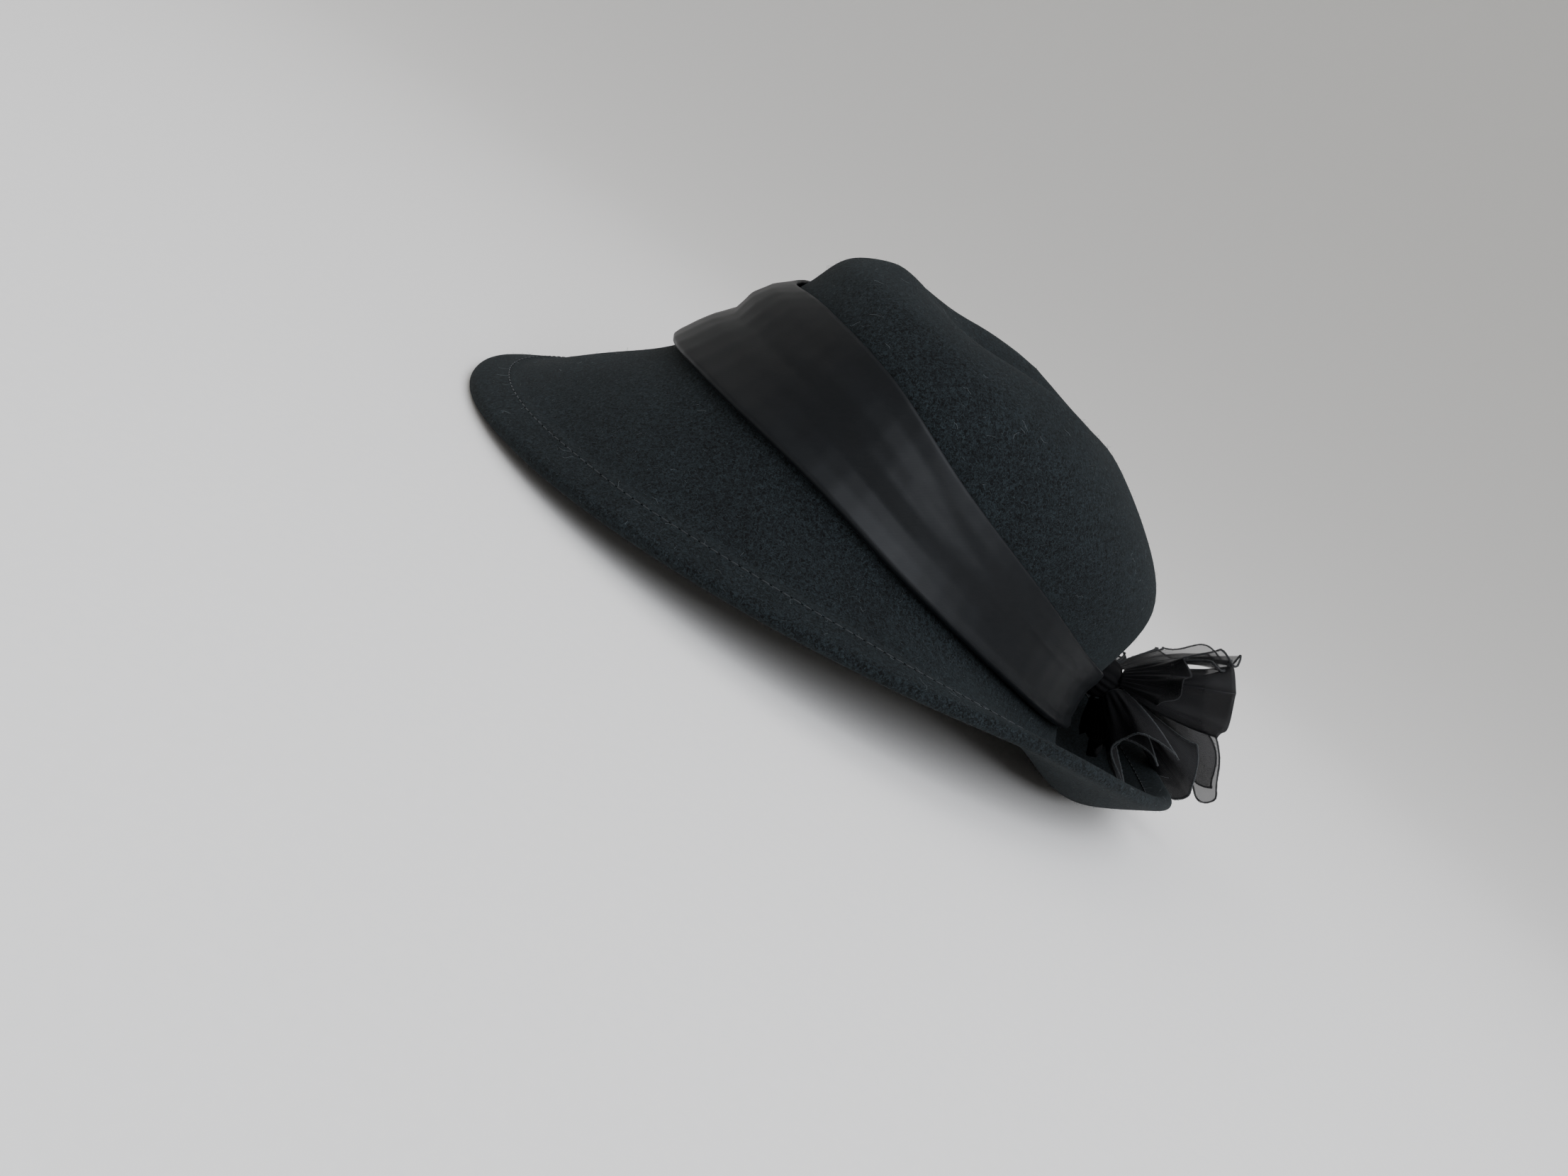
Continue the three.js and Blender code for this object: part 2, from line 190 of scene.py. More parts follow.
# Soft lights, aimed at the hat's middle, in metres and watts, and the air between them
Lamp = namedtuple("Lamp", "name place size power colour")
LAMPS = [
    Lamp("key", (1.2, 0.3, 1.1), 1.2, 30, "#f2f6ff"),
    Lamp("front", (-0.3, -1.2, 1.1), 1.2, 3, "#fffaf2"),
    Lamp("top", (0.2, 0.6, 1.6), 1.4, 13, "#f6f7ff"),
]
LAMP_AIM = Vector((0, 0, 0.06))
AIR_COLOUR = "#e6e6e4"
AIR_STRENGTH = 0.6

# A Wave texture's stripes stand this far apart at a scale of 1
WAVE_SPACING = math.tau / 20

# Sockets of a Mix node: its factor, then the two values that it mixes and their result
FACTOR = 0
NUMBER_A, NUMBER_B, NUMBER = 2, 3, 0
COLOUR_A, COLOUR_B, COLOUR = 6, 7, 2


def linear(code):
    """sRGB hex colour as linear RGBA."""
    shares = [int(code[i:i + 2], 16) / 255 for i in (1, 3, 5)]
    return [c / 12.92 if c <= 0.04045 else ((c + 0.055) / 1.055) ** 2.4 for c in shares] + [1]


def per(size_mm):
    """Noise scale that gives features of a real size."""
    return 1 / (size_mm * MM)


def stripes(size_mm):
    """Wave scale that gives stripes a real size apart."""
    return WAVE_SPACING / (size_mm * MM)


def feed(node, links):
    """Links outputs to a node's sockets."""
    for key, source in links.items():
        node.id_data.links.new(source, node.inputs[key])


def add(material, kind, settings=None, links=None):
    """Adds a node: settings go on its properties or sockets, links feed its sockets."""
    node = material.node_tree.nodes.new(kind)
    for key, value in (settings or {}).items():
        if isinstance(key, str) and hasattr(node, key):
            setattr(node, key, value)
        else:
            node.inputs[key].default_value = value
    feed(node, links or {})
    return node


def new_material(name, settings):
    """Material with a principled shader, and that shader."""
    material = bpy.data.materials.new(name)
    material.use_nodes = True
    shader = material.node_tree.nodes["Principled BSDF"]
    for key, value in settings.items():
        shader.inputs[key].default_value = value
    return material, shader


def wool_felt():
    # Blocked wool felt: matt, near black with a cool cast, short fibres pressed in all directions.
    material, shader = new_material("wool_felt", {
        "Roughness": 0.95,
        "Specular IOR Level": 0.15,
        "Sheen Weight": 0.06,
        "Sheen Roughness": 0.5,
        "Sheen Tint": linear("#8c9799"),
    })
    place = add(material, "ShaderNodeTexCoord").outputs["Object"]
    # The pressed fibres make a grain of about 0.7 mm, drawn at 0.9 mm, so that it shows.
    fibres = add(material, "ShaderNodeTexNoise",
                 {"Scale": per(0.9), "Detail": 4, "Roughness": 0.7, "Distortion": 1.2},
                 {"Vector": place})
    flecks = add(material, "ShaderNodeTexNoise",
                 {"Scale": per(1.6), "Detail": 6, "Roughness": 0.8, "Distortion": 2.5},
                 {"Vector": place})
    clouds = add(material, "ShaderNodeTexNoise", {"Scale": per(28), "Detail": 2}, {"Vector": place})
    grain = add(material, "ShaderNodeMapRange",
                {"From Min": 0.41, "From Max": 0.65},
                {"Value": fibres.outputs["Fac"]})
    pale = add(material, "ShaderNodeMapRange",
               {"From Min": 0.58, "From Max": 0.75},
               {"Value": flecks.outputs["Fac"]})
    body = add(material, "ShaderNodeMix",
               {"data_type": "RGBA", COLOUR_A: linear("#020303"), COLOUR_B: linear("#20272a")},
               {FACTOR: grain.outputs[0]})
    lit = add(material, "ShaderNodeMix",
              {"data_type": "RGBA", COLOUR_B: linear("#323b3f")},
              {FACTOR: pale.outputs[0], COLOUR_A: body.outputs[COLOUR]})
    shade = add(material, "ShaderNodeMapRange",
                {"From Min": 0.3, "From Max": 0.7, "To Min": 0.85, "To Max": 1.1},
                {"Value": clouds.outputs["Fac"]})
    tone = add(material, "ShaderNodeMix",
               {"data_type": "RGBA", "blend_type": "MULTIPLY", FACTOR: 1},
               {COLOUR_A: lit.outputs[COLOUR], COLOUR_B: shade.outputs[0]})
    bump = add(material, "ShaderNodeBump",
               {"Strength": 0.9, "Distance": 0.4 * MM},
               {"Height": fibres.outputs["Fac"]})
    feed(shader, {"Base Color": tone.outputs[COLOUR], "Normal": bump.outputs[0]})
    return material


def groove_shadow_paint():
    # Painted shadow: near-black matt colour for the cord that stands for the shade in the groove, where
    # the stitches press the wool felt down and no light reaches.
    material, _ = new_material("painted_groove_shadow", {
        "Base Color": linear("#030404"),
        "Roughness": 1,
        "Specular IOR Level": 0,
    })
    return material


def bias_satin():
    # Charcoal polyester satin cut on the bias: soft gloss, fine floats that run across at 45 degrees.
    material, shader = new_material("bias_satin", {
        "Specular IOR Level": 0.13,
        "Sheen Weight": 0.01,
        "Sheen Roughness": 0.35,
        "Sheen Tint": linear("#9a9aa4"),
    })
    cloth = add(material, "ShaderNodeUVMap", {"uv_map": "cloth"}).outputs[0]
    turned = add(material, "ShaderNodeMapping",
                 {"Rotation": (0, 0, math.radians(45))},
                 {"Vector": cloth})
    # The floats are about 0.3 mm apart and are drawn at 0.45 mm, so that they show.
    floats = add(material, "ShaderNodeTexWave",
                 {"wave_type": "BANDS", "Scale": stripes(0.45), "Distortion": 0.6, "Detail": 1,
                  "Detail Scale": 2},
                 {"Vector": turned.outputs[0]})
    slub = add(material, "ShaderNodeTexNoise", {"Scale": per(9), "Detail": 3}, {"Vector": cloth})
    thread = add(material, "ShaderNodeMapRange",
                 {"To Min": 0.9, "To Max": 1.06},
                 {"Value": floats.outputs["Fac"]})
    depth = add(material, "ShaderNodeMapRange",
                {"From Min": 0.3, "From Max": 0.7, "To Min": 0.92, "To Max": 1.06},
                {"Value": slub.outputs["Fac"]})
    both = add(material, "ShaderNodeMath",
               {"operation": "MULTIPLY"},
               {0: thread.outputs[0], 1: depth.outputs[0]})
    tone = add(material, "ShaderNodeMix",
               {"data_type": "RGBA", "blend_type": "MULTIPLY", FACTOR: 1, COLOUR_A: linear("#101214")},
               {COLOUR_B: both.outputs[0]})
    gloss = add(material, "ShaderNodeMapRange",
                {"To Min": 0.38, "To Max": 0.5},
                {"Value": slub.outputs["Fac"]})
    bump = add(material, "ShaderNodeBump",
               {"Strength": 0.15, "Distance": 0.05 * MM},
               {"Height": floats.outputs["Fac"]})
    feed(shader, {
        "Base Color": tone.outputs[COLOUR],
        "Roughness": gloss.outputs[0],
        "Normal": bump.outputs[0],
    })
    return material


def sheer_chiffon(plies):
    # Black silk chiffon: sheer plain weave of hard-twisted yarn, mostly see-through where one ply lies
    # alone and closed where it is gathered to the knot.
    material, shader = new_material(f"sheer_chiffon_{plies}_ply", {
        "Roughness": 0.6,
        "Specular IOR Level": 0.25,
        "Sheen Weight": 0.08,
        "Sheen Roughness": 0.4,
        "Sheen Tint": linear("#8d8f94"),
    })
    cloth = add(material, "ShaderNodeUVMap", {"uv_map": "cloth"}).outputs[0]
    gather = add(material, "ShaderNodeAttribute", {"attribute_name": "gather"}).outputs["Fac"]
    # The yarns are about 0.15 mm apart and are drawn at 0.5 mm, so that they show.
    warp, weft = (
        add(material, "ShaderNodeTexWave",
            {"bands_direction": direction, "Scale": stripes(0.5), "Distortion": 0.8},
            {"Vector": cloth})
        for direction in ("X", "Y")
    )
    weave = add(material, "ShaderNodeMath",
                {"operation": "ADD"},
                {0: warp.outputs["Fac"], 1: weft.outputs["Fac"]})
    # One ply stops 28 to 39 % of the light, and each ply below it the same share of the rest.
    between_yarns, on_yarns = (1 - (1 - stopped) ** plies for stopped in (0.28, 0.39))
    open_cover = add(material, "ShaderNodeMapRange",
                     {"From Max": 2, "To Min": between_yarns, "To Max": on_yarns},
                     {"Value": weave.outputs[0]})
    cover = add(material, "ShaderNodeMix",
                {"data_type": "FLOAT", NUMBER_B: 0.97},
                {FACTOR: gather, NUMBER_A: open_cover.outputs[0]})
    tone = add(material, "ShaderNodeMix",
               {"data_type": "RGBA", COLOUR_A: linear("#070708"), COLOUR_B: linear("#131315")},
               {FACTOR: warp.outputs["Fac"]})
    feed(shader, {"Alpha": cover.outputs[NUMBER], "Base Color": tone.outputs[COLOUR]})
    return material


def gathered_chiffon():
    # The same chiffon where all the gathers are sewn together, many plies deep.
    material, _ = new_material("gathered_chiffon", {
        "Base Color": linear("#060607"),
        "Roughness": 0.85,
        "Specular IOR Level": 0.1,
    })
    return material


def spun_thread(name, dark, pale, twist_mm):
    # Spun polyester thread and loose wool fibre: matt, with a twist that breaks the light.
    material, shader = new_material(name, {
        "Roughness": 0.75,
        "Sheen Weight": 0.3,
        "Sheen Tint": linear("#a0a4a8"),
    })
    place = add(material, "ShaderNodeTexCoord").outputs["Object"]
    twist = add(material, "ShaderNodeTexNoise", {"Scale": per(twist_mm), "Detail": 3}, {"Vector": place})
    tone = add(material, "ShaderNodeMix",
               {"data_type": "RGBA", COLOUR_A: linear(dark), COLOUR_B: linear(pale)},
               {FACTOR: twist.outputs["Fac"]})
    feed(shader, {"Base Color": tone.outputs[COLOUR]})
    return material


def studio_paper():
    # Pale seamless paper, matt with a faint tooth.
    material, shader = new_material("studio_paper", {"Roughness": 0.9, "Specular IOR Level": 0.2})
    place = add(material, "ShaderNodeTexCoord").outputs["Object"]
    tooth = add(material, "ShaderNodeTexNoise", {"Scale": per(3), "Detail": 3}, {"Vector": place})
    tone = add(material, "ShaderNodeMix",
               {"data_type": "RGBA", COLOUR_A: linear("#e8e7e4"), COLOUR_B: linear("#edebe8")},
               {FACTOR: tooth.outputs["Fac"]})
    feed(shader, {"Base Color": tone.outputs[COLOUR]})
    return material


def place_object(name, data):
    """Puts a mesh, lamp or camera into the scene."""
    placed = bpy.data.objects.new(name, data)
    bpy.context.scene.collection.objects.link(placed)
    return placed


def place_mesh(name, mesh, material):
    """Puts a smooth mesh of one material into the scene."""
    mesh.name = name
    mesh.materials.append(material)
    for face in mesh.polygons:
        face.use_smooth = True
    return place_object(name, mesh)


def place_piece(name, mesh, material, replaced=None):
    """Puts a mesh into the scene as a piece of the hat."""
    piece = place_mesh(name, mesh, material)
    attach(piece, ROOT)
    if replaced:
        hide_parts(replaced)
    return piece


def mesh_of(name, bm):
    """Mesh made of a bmesh, which is used up."""
    mesh = bpy.data.meshes.new(name)
    bm.to_mesh(mesh)
    bm.free()
    return mesh


def thread_piece(name, paths, radius, material):
    """Round threads along paths of points, joined in one mesh."""
    curve = bpy.data.curves.new(name, "CURVE")
    curve.dimensions = "3D"
    curve.bevel_depth = radius
    curve.bevel_resolution = 0
    for path in paths:
        spline = curve.splines.new("POLY")
        spline.points.add(len(path) - 1)
        for point, place in zip(spline.points, path):
            point.co = (*place, 1)
    holder = bpy.data.objects.new(name, curve)
    mesh = bpy.data.meshes.new_from_object(holder)
    bpy.data.objects.remove(holder)
    bpy.data.curves.remove(curve)
    return place_piece(name, mesh, material)


def merged_copy(node):
    """A node's own mesh with its loose triangles joined up."""
    bm = bmesh.new()
    bm.from_mesh(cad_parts[node].data)
    bmesh.ops.remove_doubles(bm, verts=bm.verts, dist=SOLID_WELD)
    return bm


def rough_hand(place):
    """Small unevenness of hand-blocked felt at a point."""
    return FELT_ROUGH_HAND * noise.noise(place / FELT_ROUGH_SPAN)


def felt_hat(material):
    """Crown, brim and hem of one felt, rounded over the solid's facets."""
    bm = merged_copy("felt_body")
    bmesh.ops.join_triangles(bm, faces=bm.faces, angle_face_threshold=math.pi,
                             angle_shape_threshold=math.pi)
    bm.normal_update()
    for vert in bm.verts:
        if vert.co.z > FELT_ROUGH_SPAN / 2:
            vert.co += vert.normal * rough_hand(vert.co)
    felt = place_piece("felt_hat", mesh_of("felt_hat", bm), material, "felt_body")
    rounding = felt.modifiers.new("rounding", "SUBSURF")
    rounding.levels = FELT_ROUNDING
    rounding.render_levels = FELT_ROUNDING
    return felt


def shown_mesh(piece):
    """A piece's final mesh, modifiers included."""
    bm = bmesh.new()
    bm.from_object(piece, bpy.context.evaluated_depsgraph_get())
    bmesh.ops.triangulate(bm, faces=bm.faces)
    bm.normal_update()
    return bm


def heading(azimuth):
    """Level direction at an azimuth from the hat's front, turning to the wearer's left."""
    angle = math.radians(azimuth)
    return Vector((math.sin(angle), -math.cos(angle), 0))


def on_brim(tree, azimuth, inset):
    """Point on the brim's upper face, a way in from its edge along the felt."""
    out = heading(azimuth)
    reach, least = BRIM_SEARCH
    walked = 0
    before = None
    while reach > least:
        above = Vector((0, CROWN_AXIS_Y, ABOVE_HAT)) + out * reach
        place = tree.ray_cast(above, Vector((0, 0, -1)))[0]
        if place is not None:
            walked += (place - before).length if before is not None else 0
            if walked >= inset:
                return place
            before = place
        reach -= BRIM_STEP
    return before


def along(points, pitch):
    """Even steps along a closed path of (place, normal), as place, normal and run."""
    left = 0
    for (a, na), (b, nb) in zip(points, points[1:] + points[:1]):
        span = (b - a).length
        while left < span:
            share = left / span
            yield a.lerp(b, share), na.lerp(nb, share).normalized(), (b - a).normalized()
            left += pitch
        left -= span


def hem_seam(tree):
    """Closed row of (place, normal) along the hem, evened out as a sewn line is."""
    path = [on_brim(tree, azimuth, STITCH_INSET) for azimuth in range(0, 360, SEAM_STEP)]
    for _ in range(SEAM_EASING):
        path = [(before + 2 * place + after) / 4
                for before, place, after in zip(path[-1:] + path, path, path[1:] + path[:1])]
    return [tree.find_nearest(place + Vector((0, 0, SEAM_LIFT)))[:2] for place in path]


def groove_shadow_cord(path, material):
    """Painted shadow in the line that the stitches press into the felt: a dark cord sunk nearly level with
    it.
    """
    line = [place - normal * SEAM_SINK for place, normal in path]
    return thread_piece("hem_groove_shadow", [line + line[:1]], SEAM_SHADOW_CORD, material)


def topstitch(path, material):
    """Row of machine stitches that holds the hem."""
    bm = bmesh.new()
    size = Matrix.Diagonal((STITCH_LENGTH / 2, STITCH_THREAD / 2, STITCH_THREAD / 2, 1))
    for place, normal, run in along(path, STITCH_PITCH):
        side = normal.cross(run)
        turn = Matrix((run, side, normal)).transposed().to_4x4()
        spot = Matrix.Translation(place + normal * STITCH_LIFT) @ turn @ size
        bmesh.ops.create_uvsphere(bm, u_segments=8, v_segments=6, radius=1, matrix=spot)
    return place_piece("topstitch", mesh_of("topstitch", bm), material)


def scattered(bm, count, dice, keep):
    """Random places on a mesh's triangles, each as likely as its area."""
    faces = [face for face in bm.faces if keep(face)]
    areas = [face.calc_area() for face in faces]
    for face in dice.choices(faces, areas, k=count):
        a, b, c = (vert.co for vert in face.verts)
        s, t = dice.random(), dice.random()
        if s + t > 1:
            s, t = 1 - s, 1 - t
        yield a + (b - a) * s + (c - a) * t, face.normal.copy()


def fibre(root, normal, length, lift, bends, dice):
    """Path of one loose fibre that lies on the felt and lifts off towards its tip."""
    run = normal.orthogonal()
    run.rotate(Matrix.Rotation(dice.uniform(0, math.tau), 3, normal))
    path = [root - normal * FIBRE_ROOT]
    for step in range(1, bends + 1):
        run.rotate(Matrix.Rotation(dice.gauss(0, FIBRE_WANDER), 3, normal))
        rise = normal * lift * length * (step / bends) ** FIBRE_RISE
        path.append(path[-1] + run * (length / bends) + rise / bends)
    return path


def nap(bm, material):
    """Short fibres that stand out of the felt and soften its outline, clear of the floor."""
    dice = random.Random(NAP_SEED)
    roots = scattered(bm, NAP_FIBRES, dice, lambda face: face.calc_center_median().z > NAP_LENGTH[1])
    paths = [fibre(root, normal, dice.uniform(*NAP_LENGTH), dice.uniform(*NAP_LIFT), NAP_BENDS, dice)
             for root, normal in roots]
    return thread_piece("felt_nap", paths, NAP_RADIUS, material)


def lint(bm, path, material):
    """Pale loose fibres caught on the upper side of the felt and along the row of stitches."""
    dice = random.Random(LINT_SEED)
    roots = list(scattered(bm, LINT_FIBRES, dice, lambda face: face.normal.z > LINT_SLOPE))
    roots += [(place, normal) for place, normal, _ in along(path, SEAM_LINT_PITCH)]
    paths = [fibre(root + normal * LINT_FLOAT, normal, dice.uniform(*LINT_LENGTH), LINT_LIFT,
                   LINT_BENDS, dice)
             for root, normal in roots]
    return thread_piece("felt_lint", paths, LINT_RADIUS, material)


def band_limits():
    """Heights of the band's upper edge and foot at each column of its solid."""
    tops = [-math.inf] * CAD_COLUMNS
    feet = [math.inf] * CAD_COLUMNS
    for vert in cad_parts["satin_band"].data.vertices:
        azimuth = math.degrees(math.atan2(vert.co.x, CROWN_AXIS_Y - vert.co.y))
        column = round(azimuth / 360 * CAD_COLUMNS) % CAD_COLUMNS
        tops[column] = max(tops[column], vert.co.z)
        feet[column] = min(feet[column], vert.co.z)
    return tops, feet


def round_value(values, turn):
    """Smooth value of a closed row of numbers at a share of the turn."""
    place = turn * len(values)
    first = math.floor(place)
    t = place - first
    a, b, c, d = (values[(first + step) % len(values)] for step in (-1, 0, 1, 2))
    return b + 0.5 * t * (c - a + t * (2 * a - 5 * b + 4 * c - d + t * (3 * b - a - 3 * c + d)))


def drape(turn, across):
    """Height of the satin's soft wrinkles, which fade out at the edges of its face."""
    length, width = BAND_FLAT
    angle = math.tau * turn
    ring = Vector((math.cos(angle), math.sin(angle), 0)) * length / math.tau / DRAPE_SPAN[0]
    ring.z = (across + DRAPE_SWAY * math.sin(2 * angle)) * width / DRAPE_SPAN[1]
    return DRAPE_DEPTH * (noise.noise(ring) - DRAPE_SINK) * math.sin(math.pi * across)


def satin_band(material):
    """Bias strip of satin round the crown, turned at the top and rolled under at its foot."""
    solid = merged_copy("satin_band")
    tree = BVHTree.FromBMesh(solid)
    solid.free()
    tops, feet = band_limits()

    def on_face(turn, across):
        high = round_value(tops, turn) - BAND_TRIM[0]
        low = round_value(feet, turn) + BAND_TRIM[1]
        axis = Vector((0, CROWN_AXIS_Y, high + (low - high) * across))
        out = heading(360 * turn)
        outside, usual = BAND_SEARCH
        return tree.ray_cast(axis + out * outside, -out)[0] or axis + out * usual

    def in_band(turn, row):
        face = (row - BAND_TOP_SHARE) / (1 - BAND_TOP_SHARE - BAND_FOOT_SHARE)
        across = min(max(face, 0), 1)
        place = on_face(turn, across)
        aside, below = BAND_SLOPE
        down = (on_face(turn, min(across + below, 1)) - on_face(turn, max(across - below, 0))).normalized()
        side = (on_face(turn + aside, across) - on_face(turn - aside, across)).normalized()
        out = side.cross(down)
        out *= 1 if out.dot(heading(360 * turn)) > 0 else -1
        place += out * drape(turn, across)
        if face < 0:
            angle = math.radians(BAND_TOP_TURN) * (1 - row / BAND_TOP_SHARE)
            place -= BAND_TOP_ROLL * (math.sin(angle) * down + (1 - math.cos(angle)) * out)
        if face > 1:
            angle = math.radians(BAND_FOOT_TURN) * (row - 1 + BAND_FOOT_SHARE) / BAND_FOOT_SHARE
            place += BAND_FOOT_ROLL * (math.sin(angle) * down - (1 - math.cos(angle)) * out)
        return place

    length, width = BAND_FLAT
    bm = bmesh.new()
    uv = bm.loops.layers.uv.new("cloth")
    bmesh.ops.create_grid(bm, x_segments=BAND_COLUMNS, y_segments=BAND_ROWS, size=0.5)
    for face in bm.faces:
        for loop in face.loops:
            loop[uv].uv = (loop.vert.co.x * length, loop.vert.co.y * width)
    for vert in bm.verts:
        vert.co = in_band(vert.co.x, 0.5 - vert.co.y)
    bmesh.ops.remove_doubles(bm, verts=bm.verts, dist=BAND_WELD)
    bmesh.ops.recalc_face_normals(bm, faces=bm.faces)
    mesh = mesh_of("satin_band_cloth", bm)
    band = place_piece("satin_band_cloth", mesh, material, "satin_band")
    cloth = band.modifiers.new("cloth", "SOLIDIFY")
    cloth.thickness = BAND_CLOTH
    cloth.offset = 0
    return band


def knot_middle():
    """Middle of the rosette's knot, which the petals are placed round."""
    low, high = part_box("rosette_knot")
    return Vector((0, high.y - KNOT_RADIUS, (low.z + high.z) / 2))


def gathered_knot(material, middle):
    """Gathers that the petals spring from, pleated round their middle."""
    bm = bmesh.new()
    bmesh.ops.create_uvsphere(bm, u_segments=8 * KNOT_PLEATS, v_segments=2 * KNOT_PLEATS,
                              radius=KNOT_RADIUS * KNOT_INSIDE)
    for vert in bm.verts:
        angle = math.atan2(vert.co.y, vert.co.x)
        level = math.hypot(vert.co.x, vert.co.y) / KNOT_RADIUS
        pleat = math.cos(KNOT_PLEATS * angle + KNOT_CROWDING * math.sin(KNOT_BUNCHES * angle))
        vert.co *= 1 + KNOT_PLEAT_DEPTH * pleat * level
        vert.co.z = max(vert.co.z, -KNOT_SEAT)
    bmesh.ops.rotate(bm, verts=bm.verts, matrix=Matrix.Rotation(math.radians(-90), 3, "X"))
    bmesh.ops.translate(bm, verts=bm.verts, vec=middle)
    mesh = mesh_of("gathered_knot", bm)
    return place_piece("gathered_knot", mesh, material, "rosette_knot")


def in_rosette(turn, tilt):
    """Direction round the rosette's backward axis and away from it."""
    return Vector((math.cos(turn) * math.sin(tilt), math.cos(tilt), math.sin(turn) * math.sin(tilt)))


def in_petal(petal, layer, side, share):
    """Point of a petal's layer, from side to side (-1 to 1) and from the knot to the rim (0 to 1)."""
    slipped = petal.turn + (LAYER_SLIP * layer if petal.end == "worn" else 0)
    turn, tilt, bow, half_curl = map(math.radians, (slipped, petal.tilt, petal.bow, petal.curl / 2))
    reach, half, wave = petal.reach * MM, petal.half * MM, petal.wave * MM
    folded = petal.end == "folded"

    # The petal's spine, bowed on its way from the knot
    start = PETAL_START / reach
    length = start + (1 - start) * share
    across = Vector((-math.sin(turn), 0, math.cos(turn)))
    inwards = across.cross(in_rosette(turn, tilt + bow * length))
    short = 0 if folded else LAYER_SHORT * layer * share
    walked = length * (1 - petal.fall * (side * length) ** 2) * (1 - short)
    swing = bow * walked / 2
    chord = math.sin(swing) / swing if swing else 1
    spine = in_rosette(turn, tilt + swing) * reach * walked * chord

    # The cloth curled across the spine, with its layers apart
    radius = half * length ** PETAL_FULLNESS / half_curl
    bend = half_curl * side
    rise = layer * LAYER_GAP * (math.sin(math.pi * share ** 2) if folded else share * share)
    rise -= PETAL_FACE
    spot = spine + across * (radius - rise) * math.sin(bend) + inwards * (radius + rise * math.cos(bend))
    spot -= inwards * radius * math.cos(bend)

    # Waves at the rim, pleats near the knot, soft folds and crinkles
    apart = 0 if folded else LAYER_PHASE * layer
    phase = petal.turn + FOLD_START + apart
    ripple = wave * length ** PETAL_FLARE * math.sin(math.pi * PETAL_WAVES * side + apart)
    fading = share * (1 - share) ** 2 * PLEAT_PEAK
    ripple += PLEAT_DEPTH * fading * math.sin(math.pi * PLEATS * side + phase)
    fold = math.sin(math.pi * FOLDS * side + phase + FOLD_LEAN * share)
    ripple += FOLD_DEPTH * share * (fold - FOLD_SINK)
    ripple += CRINKLE * share * noise.noise(spot / CRINKLE_SPAN + Vector((petal.turn, apart, 0)))
    return spot + inwards * ripple


def petal_layer(bm, petal, layer, middle):
    """One layer of a petal as a grid of cloth."""
    uv = bm.loops.layers.uv["cloth"]
    gather = bm.verts.layers.float["gather"]
    grid = bmesh.ops.create_grid(bm, x_segments=PETAL_COLUMNS, y_segments=PETAL_ROWS, size=1)
    verts = grid["verts"]
    for face in {face for vert in verts for face in vert.link_faces}:
        for loop in face.loops:
            flat = loop.vert.co
            loop[uv].uv = (flat.x * petal.half * MM, flat.y * petal.reach * MM / 2)
    for vert in verts:
        side, share = vert.co.x, (vert.co.y + 1) / 2
        lined = petal.end == "folded" and share < INNER_REACH + INNER_HOLLOW * side ** 2
        vert[gather] = max((1 - share) ** 2, INNER_COVER if lined else 0)
        vert.co = middle + in_petal(petal, layer, side, share)


def overlock_path(petal, layer, middle, dice):
    """Thread that winds round a layer's cut edge, up one side, along the rim and down the other."""
    count = OVERLOCK_POINTS
    one_side = [(-1, i / count) for i in range(count)]
    rim = [(2 * i / count - 1, 1) for i in range(count)]
    other_side = [(1, 1 - i / count) for i in range(count + 1)]
    edge = [middle + in_petal(petal, layer, side, share) for side, share in one_side + rim + other_side]
    lengths = [(b - a).length for a, b in zip(edge, edge[1:])]
    total = sum(lengths)
    steps = int(total / OVERLOCK_PITCH * OVERLOCK_STEPS)
    path = []
    index, walked = 0, 0
    for step in range(steps):
        goal = total * step / steps
        while walked + lengths[index] < goal:
            walked += lengths[index]
            index += 1
        a, b = edge[index], edge[index + 1]
        place = a.lerp(b, (goal - walked) / lengths[index])
        run = (b - a).normalized()
        first = run.orthogonal().normalized()
        second = run.cross(first)
        angle = math.tau * step / OVERLOCK_STEPS
        radius = OVERLOCK_RADIUS * dice.uniform(*OVERLOCK_UNEVEN)
        path.append(place + radius * (first * math.cos(angle) + second * math.sin(angle)))
    return path


def chiffon_petal(petal, middle, chiffon, threads):
    """Disc of chiffon, folded in two layers and gathered at the knot."""
    name = petal.node.replace("petal", "chiffon")
    bm = bmesh.new()
    bm.loops.layers.uv.new("cloth")
    bm.verts.layers.float.new("gather")
    for layer in LAYERS:
        petal_layer(bm, petal, layer, middle)
    bmesh.ops.remove_doubles(bm, verts=bm.verts, dist=PETAL_WELD)
    bmesh.ops.recalc_face_normals(bm, faces=bm.faces)
    cloth = place_piece(name, mesh_of(name, bm), chiffon, petal.node)
    wall = cloth.modifiers.new("cloth", "SOLIDIFY")
    wall.thickness = PETAL_CLOTH
    wall.offset = 0
    if petal.end in threads:
        dice = random.Random(petal.node)
        paths = [overlock_path(petal, layer, middle, dice) for layer in LAYERS]
        thread = threads[petal.end]
        thread_piece(name + "_overlock", paths, OVERLOCK_THREAD, thread)
    return cloth


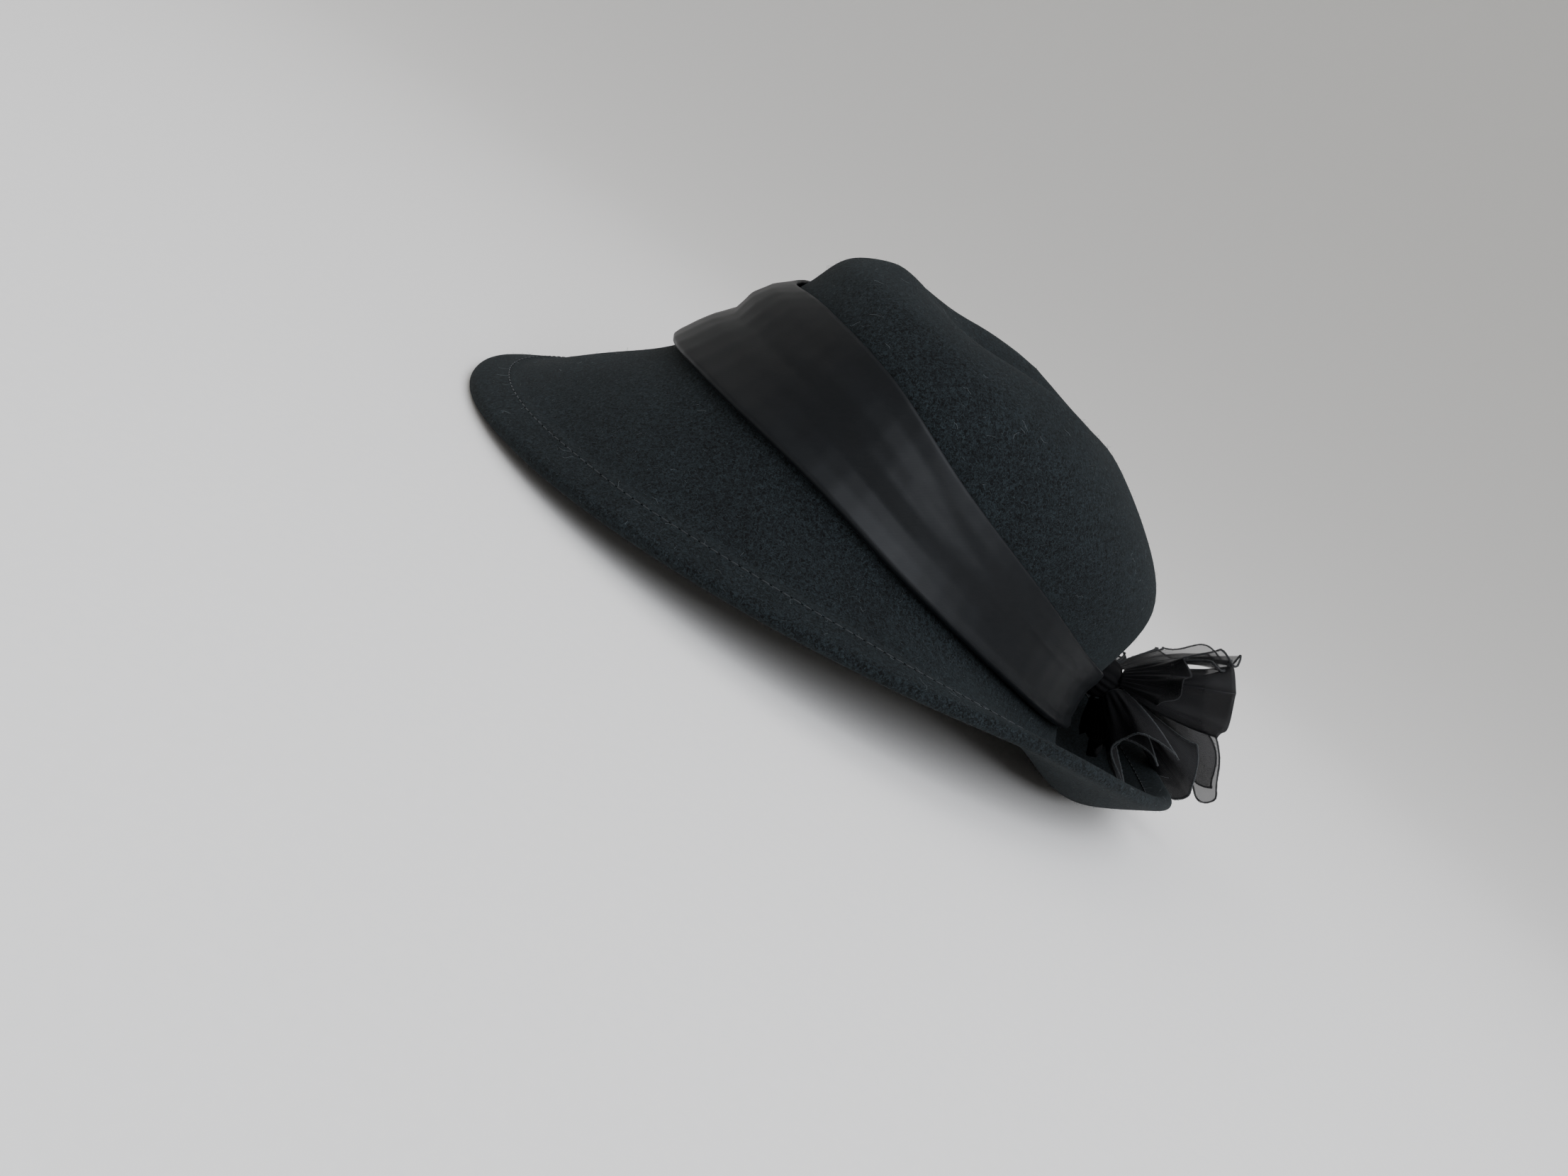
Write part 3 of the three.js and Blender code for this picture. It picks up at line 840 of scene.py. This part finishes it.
def studio_sweep(material):
    """Seamless sweep of pale paper round the hat."""
    bm = bmesh.new()
    profile = [bm.verts.new((x, 0, 0)) for x in (0, SWEEP_FLOOR)]
    for step in range(1, SWEEP_STEPS + 1):
        angle = math.radians(90 * step / SWEEP_STEPS)
        out, up = SWEEP_CURVE * math.sin(angle), SWEEP_CURVE * (1 - math.cos(angle))
        profile.append(bm.verts.new((SWEEP_FLOOR + out, 0, up)))
    edges = [bm.edges.new(pair) for pair in zip(profile, profile[1:])]
    bmesh.ops.spin(bm, geom=profile + edges, axis=(0, 0, 1), cent=(0, 0, 0), angle=math.tau,
                   steps=SWEEP_SIDES, use_merge=True)
    bmesh.ops.remove_doubles(bm, verts=bm.verts, dist=SWEEP_WELD)
    bmesh.ops.recalc_face_normals(bm, faces=bm.faces)
    place_mesh("studio_sweep", mesh_of("studio_sweep", bm), material)


def studio_light():
    """Soft lamps and a quiet world."""
    for lamp in LAMPS:
        light = bpy.data.lights.new(lamp.name, "AREA")
        light.size = lamp.size
        light.energy = lamp.power
        light.color = linear(lamp.colour)[:3]
        placed = place_object(lamp.name, light)
        placed.location = lamp.place
        aim = LAMP_AIM - Vector(lamp.place)
        placed.rotation_euler = aim.to_track_quat("-Z", "Y").to_euler()
    world = bpy.data.worlds.new("studio_air")
    world.use_nodes = True
    air = world.node_tree.nodes["Background"]
    air.inputs["Color"].default_value = linear(AIR_COLOUR)
    air.inputs["Strength"].default_value = AIR_STRENGTH
    bpy.context.scene.world = world


def photo_camera():
    """Camera that sees the hat as the photograph does."""
    pitch, roll = math.radians(CAMERA_PITCH), math.radians(CAMERA_ROLL)
    right = Vector((0, math.cos(roll), math.sin(roll)))
    down = Vector((0, math.sin(roll), -math.cos(roll)))
    ahead = Vector((-math.cos(pitch), 0, 0)) + down * math.sin(pitch)
    up = right.cross(ahead)
    data = bpy.data.cameras.new("photo_camera")
    data.lens = CAMERA_LENS
    data.sensor_width = CAMERA_SENSOR
    data.clip_start = CAMERA_NEAR
    camera = place_object("photo_camera", data)
    turn = Matrix((right, up, -ahead)).transposed()
    camera.matrix_world = Matrix.Translation(CAMERA_PLACE) @ turn.to_4x4()
    bpy.context.scene.camera = camera


def dress_felt():
    """The felt with its row of stitches, nap and lint."""
    felt = felt_hat(wool_felt())
    surface = shown_mesh(felt)
    seam = hem_seam(BVHTree.FromBMesh(surface))
    # Painted shadow: a near-black cord along the row of stitches stands for the shade in their groove.
    groove_shadow_cord(seam, groove_shadow_paint())
    topstitch(seam, spun_thread("sewing_thread", "#0a0d0f", "#1d2225", twist_mm=0.6))
    nap(surface, spun_thread("wool_fibre", "#0e1112", "#2b3133", twist_mm=4))
    lint(surface, seam, spun_thread("lint_fibre", "#2c3133", "#6f7679", twist_mm=12))
    surface.free()


def dress_rosette():
    """The knot and its petals, with a material for each number of plies."""
    chiffon = {plies: sheer_chiffon(plies) for plies in {petal.plies for petal in PETALS}}
    overlock = {
        "cut": spun_thread("overlock_thread", "#020203", "#0c0d0e", twist_mm=0.8),
        "worn": spun_thread("worn_overlock_thread", "#08090a", "#2a2f31", twist_mm=1.2),
    }
    middle = knot_middle()
    gathered_knot(gathered_chiffon(), middle)
    for petal in PETALS:
        chiffon_petal(petal, middle, chiffon[petal.plies], overlock)


photo_camera()
studio_sweep(studio_paper())
studio_light()
dress_felt()
satin_band(bias_satin())
dress_rosette()
